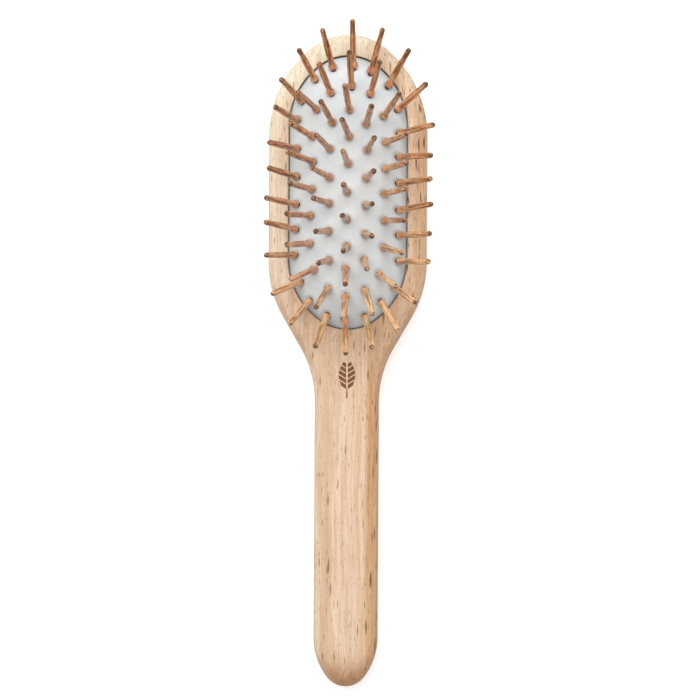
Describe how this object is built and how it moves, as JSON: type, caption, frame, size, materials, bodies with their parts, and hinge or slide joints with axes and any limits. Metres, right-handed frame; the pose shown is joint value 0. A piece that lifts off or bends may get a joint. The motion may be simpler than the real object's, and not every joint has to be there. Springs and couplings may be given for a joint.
{
  "type": "wooden cushion hairbrush",
  "caption": "Wooden hairbrush with an oval paddle head, a crowned rubber air cushion and turned wooden pins that sink with the cushion.",
  "frame": {"origin": "on the flat back of the wooden body, half way along its length, on its centre line", "axes": "+Y from the handle's end to the head, +X to the right seen from the pin side, +Z from the back to the pins"},
  "size_m": [0.0613, 0.2426, 0.0429],
  "materials": {
    "beech": "fine straight-grained beech with short dark flecks, sanded smooth, matt oiled",
    "grey_rubber": "soft pale grey rubber, matt",
    "pin_wood": "turned hardwood, reddish brown, light polish, darker end grain at the tips"
  },
  "bodies": {
    "brush_body": {"handle_body": "beech", "rubber_cushion": "grey_rubber"},
    "pin_d06": {"pin_d06": "pin_wood"},
    "pin_a02": {"pin_a02": "pin_wood"},
    "pin_a03": {"pin_a03": "pin_wood"},
    "pin_a04": {"pin_a04": "pin_wood"},
    "pin_a05": {"pin_a05": "pin_wood"},
    "pin_a06": {"pin_a06": "pin_wood"},
    "pin_a07": {"pin_a07": "pin_wood"},
    "pin_b02": {"pin_b02": "pin_wood"},
    "pin_b03": {"pin_b03": "pin_wood"},
    "pin_b04": {"pin_b04": "pin_wood"},
    "pin_b05": {"pin_b05": "pin_wood"},
    "pin_b06": {"pin_b06": "pin_wood"},
    "pin_b07": {"pin_b07": "pin_wood"},
    "pin_c02": {"pin_c02": "pin_wood"},
    "pin_c03": {"pin_c03": "pin_wood"},
    "pin_c04": {"pin_c04": "pin_wood"},
    "pin_c05": {"pin_c05": "pin_wood"},
    "pin_c06": {"pin_c06": "pin_wood"},
    "pin_c07": {"pin_c07": "pin_wood"},
    "pin_c08": {"pin_c08": "pin_wood"},
    "pin_c09": {"pin_c09": "pin_wood"},
    "pin_d01": {"pin_d01": "pin_wood"},
    "pin_d02": {"pin_d02": "pin_wood"},
    "pin_d03": {"pin_d03": "pin_wood"},
    "pin_d04": {"pin_d04": "pin_wood"},
    "pin_d05": {"pin_d05": "pin_wood"},
    "pin_d07": {"pin_d07": "pin_wood"},
    "pin_d08": {"pin_d08": "pin_wood"},
    "pin_d09": {"pin_d09": "pin_wood"},
    "pin_d10": {"pin_d10": "pin_wood"},
    "pin_d11": {"pin_d11": "pin_wood"},
    "pin_e02": {"pin_e02": "pin_wood"},
    "pin_e03": {"pin_e03": "pin_wood"},
    "pin_e04": {"pin_e04": "pin_wood"},
    "pin_e05": {"pin_e05": "pin_wood"},
    "pin_e06": {"pin_e06": "pin_wood"},
    "pin_e07": {"pin_e07": "pin_wood"},
    "pin_e08": {"pin_e08": "pin_wood"},
    "pin_e09": {"pin_e09": "pin_wood"},
    "pin_f02": {"pin_f02": "pin_wood"},
    "pin_f03": {"pin_f03": "pin_wood"},
    "pin_f04": {"pin_f04": "pin_wood"},
    "pin_f05": {"pin_f05": "pin_wood"},
    "pin_f06": {"pin_f06": "pin_wood"},
    "pin_f07": {"pin_f07": "pin_wood"},
    "pin_g02": {"pin_g02": "pin_wood"},
    "pin_g03": {"pin_g03": "pin_wood"},
    "pin_g04": {"pin_g04": "pin_wood"},
    "pin_g05": {"pin_g05": "pin_wood"},
    "pin_g06": {"pin_g06": "pin_wood"},
    "pin_g07": {"pin_g07": "pin_wood"},
    "pins_a01_g01": {"pins_a01_g01": "pin_wood"},
    "pins_a08_g08": {"pins_a08_g08": "pin_wood"},
    "pins_b01_f01": {"pins_b01_f01": "pin_wood"},
    "pins_b08_f08": {"pins_b08_f08": "pin_wood"},
    "pins_b09_f09": {"pins_b09_f09": "pin_wood"},
    "pins_c01_e01": {"pins_c01_e01": "pin_wood"},
    "pins_c10_e10": {"pins_c10_e10": "pin_wood"}
  },
  "joints": [
    {"name": "sink_pin_d06", "type": "slide", "parent": "brush_body", "child": "pin_d06", "axis": [0, 0, -1], "range_m": [0, 0.0045], "stiffness_N_per_m": 60, "deforming": ["rubber_cushion"]},
    {"name": "sink_pin_a02", "type": "slide", "parent": "brush_body", "child": "pin_a02", "axis": [0, 0, -1], "range_m": [0, 0.00143], "stiffness_N_per_m": 60},
    {"name": "sink_pin_a03", "type": "slide", "parent": "brush_body", "child": "pin_a03", "axis": [0, 0, -1], "range_m": [0, 0.00147], "stiffness_N_per_m": 60},
    {"name": "sink_pin_a04", "type": "slide", "parent": "brush_body", "child": "pin_a04", "axis": [0, 0, -1], "range_m": [0, 0.00142], "stiffness_N_per_m": 60},
    {"name": "sink_pin_a05", "type": "slide", "parent": "brush_body", "child": "pin_a05", "axis": [0, 0, -1], "range_m": [0, 0.0014], "stiffness_N_per_m": 60},
    {"name": "sink_pin_a06", "type": "slide", "parent": "brush_body", "child": "pin_a06", "axis": [0, 0, -1], "range_m": [0, 0.00134], "stiffness_N_per_m": 60},
    {"name": "sink_pin_a07", "type": "slide", "parent": "brush_body", "child": "pin_a07", "axis": [0, 0, -1], "range_m": [0, 0.00121], "stiffness_N_per_m": 60},
    {"name": "sink_pin_b02", "type": "slide", "parent": "brush_body", "child": "pin_b02", "axis": [0, 0, -1], "range_m": [0, 0.00327], "stiffness_N_per_m": 60},
    {"name": "sink_pin_b03", "type": "slide", "parent": "brush_body", "child": "pin_b03", "axis": [0, 0, -1], "range_m": [0, 0.00311], "stiffness_N_per_m": 60},
    {"name": "sink_pin_b04", "type": "slide", "parent": "brush_body", "child": "pin_b04", "axis": [0, 0, -1], "range_m": [0, 0.00319], "stiffness_N_per_m": 60},
    {"name": "sink_pin_b05", "type": "slide", "parent": "brush_body", "child": "pin_b05", "axis": [0, 0, -1], "range_m": [0, 0.0031], "stiffness_N_per_m": 60},
    {"name": "sink_pin_b06", "type": "slide", "parent": "brush_body", "child": "pin_b06", "axis": [0, 0, -1], "range_m": [0, 0.00299], "stiffness_N_per_m": 60},
    {"name": "sink_pin_b07", "type": "slide", "parent": "brush_body", "child": "pin_b07", "axis": [0, 0, -1], "range_m": [0, 0.00296], "stiffness_N_per_m": 60},
    {"name": "sink_pin_c02", "type": "slide", "parent": "brush_body", "child": "pin_c02", "axis": [0, 0, -1], "range_m": [0, 0.00359], "stiffness_N_per_m": 60},
    {"name": "sink_pin_c03", "type": "slide", "parent": "brush_body", "child": "pin_c03", "axis": [0, 0, -1], "range_m": [0, 0.00424], "stiffness_N_per_m": 60},
    {"name": "sink_pin_c04", "type": "slide", "parent": "brush_body", "child": "pin_c04", "axis": [0, 0, -1], "range_m": [0, 0.00416], "stiffness_N_per_m": 60},
    {"name": "sink_pin_c05", "type": "slide", "parent": "brush_body", "child": "pin_c05", "axis": [0, 0, -1], "range_m": [0, 0.00416], "stiffness_N_per_m": 60},
    {"name": "sink_pin_c06", "type": "slide", "parent": "brush_body", "child": "pin_c06", "axis": [0, 0, -1], "range_m": [0, 0.00414], "stiffness_N_per_m": 60},
    {"name": "sink_pin_c07", "type": "slide", "parent": "brush_body", "child": "pin_c07", "axis": [0, 0, -1], "range_m": [0, 0.00412], "stiffness_N_per_m": 60},
    {"name": "sink_pin_c08", "type": "slide", "parent": "brush_body", "child": "pin_c08", "axis": [0, 0, -1], "range_m": [0, 0.00414], "stiffness_N_per_m": 60},
    {"name": "sink_pin_c09", "type": "slide", "parent": "brush_body", "child": "pin_c09", "axis": [0, 0, -1], "range_m": [0, 0.00352], "stiffness_N_per_m": 60},
    {"name": "sink_pin_d01", "type": "slide", "parent": "brush_body", "child": "pin_d01", "axis": [0, 0, -1], "range_m": [0, 0.002], "stiffness_N_per_m": 60},
    {"name": "sink_pin_d02", "type": "slide", "parent": "brush_body", "child": "pin_d02", "axis": [0, 0, -1], "range_m": [0, 0.00381], "stiffness_N_per_m": 60},
    {"name": "sink_pin_d03", "type": "slide", "parent": "brush_body", "child": "pin_d03", "axis": [0, 0, -1], "range_m": [0, 0.00447], "stiffness_N_per_m": 60},
    {"name": "sink_pin_d04", "type": "slide", "parent": "brush_body", "child": "pin_d04", "axis": [0, 0, -1], "range_m": [0, 0.0045], "stiffness_N_per_m": 60},
    {"name": "sink_pin_d05", "type": "slide", "parent": "brush_body", "child": "pin_d05", "axis": [0, 0, -1], "range_m": [0, 0.0045], "stiffness_N_per_m": 60},
    {"name": "sink_pin_d07", "type": "slide", "parent": "brush_body", "child": "pin_d07", "axis": [0, 0, -1], "range_m": [0, 0.0045], "stiffness_N_per_m": 60},
    {"name": "sink_pin_d08", "type": "slide", "parent": "brush_body", "child": "pin_d08", "axis": [0, 0, -1], "range_m": [0, 0.0045], "stiffness_N_per_m": 60},
    {"name": "sink_pin_d09", "type": "slide", "parent": "brush_body", "child": "pin_d09", "axis": [0, 0, -1], "range_m": [0, 0.00448], "stiffness_N_per_m": 60},
    {"name": "sink_pin_d10", "type": "slide", "parent": "brush_body", "child": "pin_d10", "axis": [0, 0, -1], "range_m": [0, 0.00376], "stiffness_N_per_m": 60},
    {"name": "sink_pin_d11", "type": "slide", "parent": "brush_body", "child": "pin_d11", "axis": [0, 0, -1], "range_m": [0, 0.00166], "stiffness_N_per_m": 60},
    {"name": "sink_pin_e02", "type": "slide", "parent": "brush_body", "child": "pin_e02", "axis": [0, 0, -1], "range_m": [0, 0.00341], "stiffness_N_per_m": 60},
    {"name": "sink_pin_e03", "type": "slide", "parent": "brush_body", "child": "pin_e03", "axis": [0, 0, -1], "range_m": [0, 0.00417], "stiffness_N_per_m": 60},
    {"name": "sink_pin_e04", "type": "slide", "parent": "brush_body", "child": "pin_e04", "axis": [0, 0, -1], "range_m": [0, 0.00413], "stiffness_N_per_m": 60},
    {"name": "sink_pin_e05", "type": "slide", "parent": "brush_body", "child": "pin_e05", "axis": [0, 0, -1], "range_m": [0, 0.00416], "stiffness_N_per_m": 60},
    {"name": "sink_pin_e06", "type": "slide", "parent": "brush_body", "child": "pin_e06", "axis": [0, 0, -1], "range_m": [0, 0.00417], "stiffness_N_per_m": 60},
    {"name": "sink_pin_e07", "type": "slide", "parent": "brush_body", "child": "pin_e07", "axis": [0, 0, -1], "range_m": [0, 0.00419], "stiffness_N_per_m": 60},
    {"name": "sink_pin_e08", "type": "slide", "parent": "brush_body", "child": "pin_e08", "axis": [0, 0, -1], "range_m": [0, 0.00422], "stiffness_N_per_m": 60},
    {"name": "sink_pin_e09", "type": "slide", "parent": "brush_body", "child": "pin_e09", "axis": [0, 0, -1], "range_m": [0, 0.00353], "stiffness_N_per_m": 60},
    {"name": "sink_pin_f02", "type": "slide", "parent": "brush_body", "child": "pin_f02", "axis": [0, 0, -1], "range_m": [0, 0.00314], "stiffness_N_per_m": 60},
    {"name": "sink_pin_f03", "type": "slide", "parent": "brush_body", "child": "pin_f03", "axis": [0, 0, -1], "range_m": [0, 0.003], "stiffness_N_per_m": 60},
    {"name": "sink_pin_f04", "type": "slide", "parent": "brush_body", "child": "pin_f04", "axis": [0, 0, -1], "range_m": [0, 0.00302], "stiffness_N_per_m": 60},
    {"name": "sink_pin_f05", "type": "slide", "parent": "brush_body", "child": "pin_f05", "axis": [0, 0, -1], "range_m": [0, 0.00311], "stiffness_N_per_m": 60},
    {"name": "sink_pin_f06", "type": "slide", "parent": "brush_body", "child": "pin_f06", "axis": [0, 0, -1], "range_m": [0, 0.00308], "stiffness_N_per_m": 60},
    {"name": "sink_pin_f07", "type": "slide", "parent": "brush_body", "child": "pin_f07", "axis": [0, 0, -1], "range_m": [0, 0.0031], "stiffness_N_per_m": 60},
    {"name": "sink_pin_g02", "type": "slide", "parent": "brush_body", "child": "pin_g02", "axis": [0, 0, -1], "range_m": [0, 0.00148], "stiffness_N_per_m": 60},
    {"name": "sink_pin_g03", "type": "slide", "parent": "brush_body", "child": "pin_g03", "axis": [0, 0, -1], "range_m": [0, 0.00158], "stiffness_N_per_m": 60},
    {"name": "sink_pin_g04", "type": "slide", "parent": "brush_body", "child": "pin_g04", "axis": [0, 0, -1], "range_m": [0, 0.00156], "stiffness_N_per_m": 60},
    {"name": "sink_pin_g05", "type": "slide", "parent": "brush_body", "child": "pin_g05", "axis": [0, 0, -1], "range_m": [0, 0.00154], "stiffness_N_per_m": 60},
    {"name": "sink_pin_g06", "type": "slide", "parent": "brush_body", "child": "pin_g06", "axis": [0, 0, -1], "range_m": [0, 0.00151], "stiffness_N_per_m": 60},
    {"name": "sink_pin_g07", "type": "slide", "parent": "brush_body", "child": "pin_g07", "axis": [0, 0, -1], "range_m": [0, 0.00147], "stiffness_N_per_m": 60},
    {"name": "sink_pins_a01_g01", "type": "slide", "parent": "brush_body", "child": "pins_a01_g01", "axis": [0, 0, -1], "range_m": [0, 0.00144], "stiffness_N_per_m": 60},
    {"name": "sink_pins_a08_g08", "type": "slide", "parent": "brush_body", "child": "pins_a08_g08", "axis": [0, 0, -1], "range_m": [0, 0.00132], "stiffness_N_per_m": 60},
    {"name": "sink_pins_b01_f01", "type": "slide", "parent": "brush_body", "child": "pins_b01_f01", "axis": [0, 0, -1], "range_m": [0, 0.00137], "stiffness_N_per_m": 60},
    {"name": "sink_pins_b08_f08", "type": "slide", "parent": "brush_body", "child": "pins_b08_f08", "axis": [0, 0, -1], "range_m": [0, 0.00321], "stiffness_N_per_m": 60},
    {"name": "sink_pins_b09_f09", "type": "slide", "parent": "brush_body", "child": "pins_b09_f09", "axis": [0, 0, -1], "range_m": [0, 0.00142], "stiffness_N_per_m": 60},
    {"name": "sink_pins_c01_e01", "type": "slide", "parent": "brush_body", "child": "pins_c01_e01", "axis": [0, 0, -1], "range_m": [0, 0.00173], "stiffness_N_per_m": 60},
    {"name": "sink_pins_c10_e10", "type": "slide", "parent": "brush_body", "child": "pins_c10_e10", "axis": [0, 0, -1], "range_m": [0, 0.00142], "stiffness_N_per_m": 60}
  ],
  "couplings": [
    {"joint": "sink_pin_a02", "follows": "sink_pin_d06", "ratio": 0.3185},
    {"joint": "sink_pin_a03", "follows": "sink_pin_d06", "ratio": 0.3271},
    {"joint": "sink_pin_a04", "follows": "sink_pin_d06", "ratio": 0.3162},
    {"joint": "sink_pin_a05", "follows": "sink_pin_d06", "ratio": 0.3112},
    {"joint": "sink_pin_a06", "follows": "sink_pin_d06", "ratio": 0.2984},
    {"joint": "sink_pin_a07", "follows": "sink_pin_d06", "ratio": 0.2688},
    {"joint": "sink_pin_b02", "follows": "sink_pin_d06", "ratio": 0.7275},
    {"joint": "sink_pin_b03", "follows": "sink_pin_d06", "ratio": 0.6917},
    {"joint": "sink_pin_b04", "follows": "sink_pin_d06", "ratio": 0.7082},
    {"joint": "sink_pin_b05", "follows": "sink_pin_d06", "ratio": 0.6892},
    {"joint": "sink_pin_b06", "follows": "sink_pin_d06", "ratio": 0.6653},
    {"joint": "sink_pin_b07", "follows": "sink_pin_d06", "ratio": 0.6583},
    {"joint": "sink_pin_c02", "follows": "sink_pin_d06", "ratio": 0.7974},
    {"joint": "sink_pin_c03", "follows": "sink_pin_d06", "ratio": 0.9427},
    {"joint": "sink_pin_c04", "follows": "sink_pin_d06", "ratio": 0.9235},
    {"joint": "sink_pin_c05", "follows": "sink_pin_d06", "ratio": 0.9249},
    {"joint": "sink_pin_c06", "follows": "sink_pin_d06", "ratio": 0.9206},
    {"joint": "sink_pin_c07", "follows": "sink_pin_d06", "ratio": 0.9157},
    {"joint": "sink_pin_c08", "follows": "sink_pin_d06", "ratio": 0.9199},
    {"joint": "sink_pin_c09", "follows": "sink_pin_d06", "ratio": 0.7812},
    {"joint": "sink_pin_d01", "follows": "sink_pin_d06", "ratio": 0.4435},
    {"joint": "sink_pin_d02", "follows": "sink_pin_d06", "ratio": 0.8468},
    {"joint": "sink_pin_d03", "follows": "sink_pin_d06", "ratio": 0.993},
    {"joint": "sink_pin_d04", "follows": "sink_pin_d06", "ratio": 0.9998},
    {"joint": "sink_pin_d05", "follows": "sink_pin_d06", "ratio": 1.0001},
    {"joint": "sink_pin_d07", "follows": "sink_pin_d06", "ratio": 0.9999},
    {"joint": "sink_pin_d08", "follows": "sink_pin_d06", "ratio": 0.9999},
    {"joint": "sink_pin_d09", "follows": "sink_pin_d06", "ratio": 0.9954},
    {"joint": "sink_pin_d10", "follows": "sink_pin_d06", "ratio": 0.8343},
    {"joint": "sink_pin_d11", "follows": "sink_pin_d06", "ratio": 0.3694},
    {"joint": "sink_pin_e02", "follows": "sink_pin_d06", "ratio": 0.7584},
    {"joint": "sink_pin_e03", "follows": "sink_pin_d06", "ratio": 0.9268},
    {"joint": "sink_pin_e04", "follows": "sink_pin_d06", "ratio": 0.9169},
    {"joint": "sink_pin_e05", "follows": "sink_pin_d06", "ratio": 0.9247},
    {"joint": "sink_pin_e06", "follows": "sink_pin_d06", "ratio": 0.927},
    {"joint": "sink_pin_e07", "follows": "sink_pin_d06", "ratio": 0.93},
    {"joint": "sink_pin_e08", "follows": "sink_pin_d06", "ratio": 0.9388},
    {"joint": "sink_pin_e09", "follows": "sink_pin_d06", "ratio": 0.785},
    {"joint": "sink_pin_f02", "follows": "sink_pin_d06", "ratio": 0.697},
    {"joint": "sink_pin_f03", "follows": "sink_pin_d06", "ratio": 0.6658},
    {"joint": "sink_pin_f04", "follows": "sink_pin_d06", "ratio": 0.6716},
    {"joint": "sink_pin_f05", "follows": "sink_pin_d06", "ratio": 0.6902},
    {"joint": "sink_pin_f06", "follows": "sink_pin_d06", "ratio": 0.6846},
    {"joint": "sink_pin_f07", "follows": "sink_pin_d06", "ratio": 0.6877},
    {"joint": "sink_pin_g02", "follows": "sink_pin_d06", "ratio": 0.328},
    {"joint": "sink_pin_g03", "follows": "sink_pin_d06", "ratio": 0.3518},
    {"joint": "sink_pin_g04", "follows": "sink_pin_d06", "ratio": 0.3469},
    {"joint": "sink_pin_g05", "follows": "sink_pin_d06", "ratio": 0.3428},
    {"joint": "sink_pin_g06", "follows": "sink_pin_d06", "ratio": 0.3362},
    {"joint": "sink_pin_g07", "follows": "sink_pin_d06", "ratio": 0.3258},
    {"joint": "sink_pins_a01_g01", "follows": "sink_pin_d06", "ratio": 0.3194},
    {"joint": "sink_pins_a08_g08", "follows": "sink_pin_d06", "ratio": 0.2926},
    {"joint": "sink_pins_b01_f01", "follows": "sink_pin_d06", "ratio": 0.305},
    {"joint": "sink_pins_b08_f08", "follows": "sink_pin_d06", "ratio": 0.7139},
    {"joint": "sink_pins_b09_f09", "follows": "sink_pin_d06", "ratio": 0.3148},
    {"joint": "sink_pins_c01_e01", "follows": "sink_pin_d06", "ratio": 0.3834},
    {"joint": "sink_pins_c10_e10", "follows": "sink_pin_d06", "ratio": 0.3161}
  ]
}
